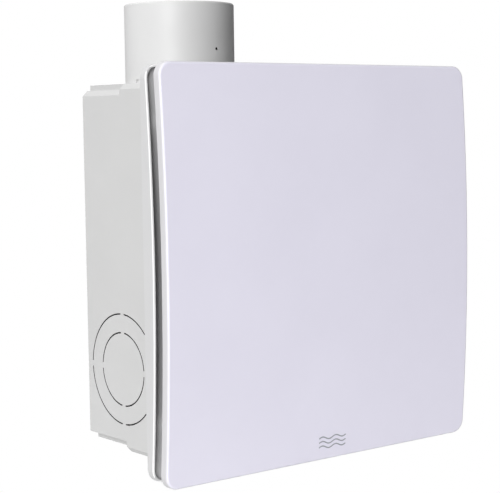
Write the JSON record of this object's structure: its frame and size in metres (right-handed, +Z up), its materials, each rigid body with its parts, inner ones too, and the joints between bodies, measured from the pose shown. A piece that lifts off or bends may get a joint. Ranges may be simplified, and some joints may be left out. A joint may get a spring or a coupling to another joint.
{
  "type": "heat recovery unit",
  "caption": "Wall-recessed room ventilation unit with heat recovery: casing, top duct spigot, side knock-outs, bowed front panel, exchanger core, fans and filters inside.",
  "frame": {"origin": "centre of the casing's flat back face, on the plane that lies against the bottom of the wall recess", "axes": "+X to the right as seen from the room, +Y into the wall, +Z up along the duct spigot; the wall's surface is at y = -0.095"},
  "size_m": [0.29, 0.1249, 0.334],
  "materials": {
    "casing_plastic": "satin moulded light grey",
    "panel_plastic": "fine satin off-white",
    "trim_plastic": "fine satin off-white",
    "spigot_plastic": "satin moulded light grey",
    "foam": "expanded polypropylene bead texture",
    "seal_foam": "closed-cell foam",
    "black_plastic": "moulded black",
    "rubber": "matt rubber",
    "steel": "bright steel",
    "zinc_screw": "zinc plated",
    "membrane": "polymer membrane",
    "core_frame_plastic": "moulded grey",
    "strap_web": "woven polyester",
    "filter_frame_plastic": "moulded grey",
    "filter_felt": "pleated synthetic felt",
    "housing_plastic": "moulded dark grey",
    "circuit_board": "solder resist",
    "terminal_plastic": "moulded light grey",
    "button_plastic": "satin grey",
    "light_plastic": "translucent",
    "motor_metal": "laminations and winding"
  },
  "bodies": {
    "casing": {"wall_casing": "casing_plastic", "cable_grommet": "rubber", "duct_spigot": "spigot_plastic", "spigot_gasket": "seal_foam", "shutter_axle": "steel", "foam_duct_body": "foam", "exhaust_fan_frame": "black_plastic", "exhaust_fan_motor": "motor_metal", "supply_fan_frame": "black_plastic", "supply_fan_motor": "motor_metal", "exhaust_fan_gasket": "seal_foam", "exhaust_fan_plug": "foam", "supply_fan_gasket": "seal_foam", "supply_fan_screws": "zinc_screw", "control_housing": "housing_plastic", "cable_clamp": "housing_plastic", "terminal_block": "terminal_plastic", "control_board": "circuit_board", "control_cover": "housing_plastic", "status_light_guide": "light_plastic", "humidity_sensor": "housing_plastic", "trim_frame": "trim_plastic", "wall_gasket": "seal_foam", "trim_screws": "zinc_screw", "supply_guard": "trim_plastic"},
    "panel": {"front_panel": "panel_plastic", "panel_studs": "housing_plastic", "air_baffle": "seal_foam"},
    "core": {"exchanger_plates": "membrane", "core_end_plates": "core_frame_plastic", "core_corner_rails": "core_frame_plastic", "core_pull_strap": "strap_web"},
    "fresh_filter": {"fresh_filter_frame": "filter_frame_plastic", "fresh_filter_media": "filter_felt"},
    "extract_filter": {"extract_filter_frame": "filter_frame_plastic", "extract_filter_media": "filter_felt"},
    "exhaust_rotor": {"exhaust_impeller": "black_plastic", "exhaust_impeller_shaft": "steel"},
    "supply_rotor": {"supply_impeller": "black_plastic", "supply_impeller_shaft": "steel"},
    "left_flap": {"shutter_flap_left": "spigot_plastic"},
    "right_flap": {"shutter_flap_right": "spigot_plastic"},
    "speed_key": {"speed_button": "button_plastic"},
    "reset_key": {"filter_reset_button": "button_plastic"}
  },
  "joints": [
    {"name": "panel_pull", "type": "slide", "parent": "casing", "child": "panel", "axis": [0, -1, 0], "range_m": [0, 0.2]},
    {"name": "core_pull", "type": "slide", "parent": "casing", "child": "core", "axis": [0, -1, 0], "range_m": [0, 0.1]},
    {"name": "fresh_filter_pull", "type": "slide", "parent": "casing", "child": "fresh_filter", "axis": [0, -1, 0], "range_m": [0, 0.09]},
    {"name": "extract_filter_pull", "type": "slide", "parent": "casing", "child": "extract_filter", "axis": [0, -1, 0], "range_m": [0, 0.09]},
    {"name": "exhaust_impeller_spin", "type": "hinge", "parent": "casing", "child": "exhaust_rotor", "pos_m": [-0.076, -0.0475, 0.1], "axis": [0, 0, 1], "continuous": true},
    {"name": "supply_impeller_spin", "type": "hinge", "parent": "casing", "child": "supply_rotor", "pos_m": [0.08, -0.07, 0.08], "axis": [0, -1, 0], "continuous": true},
    {"name": "left_flap_swing", "type": "hinge", "parent": "casing", "child": "left_flap", "pos_m": [-0.076, -0.0475, 0.15], "axis": [0, 1, 0], "range_deg": [0, 75]},
    {"name": "right_flap_swing", "type": "hinge", "parent": "casing", "child": "right_flap", "pos_m": [-0.076, -0.0475, 0.15], "axis": [0, 1, 0], "range_deg": [-75, 0]},
    {"name": "speed_button_press", "type": "slide", "parent": "casing", "child": "speed_key", "axis": [0, 1, 0], "range_m": [0, 0.0012], "stiffness_N_per_m": 400},
    {"name": "reset_button_press", "type": "slide", "parent": "casing", "child": "reset_key", "axis": [0, 1, 0], "range_m": [0, 0.0012], "stiffness_N_per_m": 400}
  ],
  "couplings": [
    {"joint": "core_pull", "follows": "panel_pull", "ratio": 0.5},
    {"joint": "fresh_filter_pull", "follows": "panel_pull", "ratio": 0.45},
    {"joint": "extract_filter_pull", "follows": "panel_pull", "ratio": 0.45},
    {"joint": "right_flap_swing", "follows": "left_flap_swing", "ratio": -1}
  ]
}
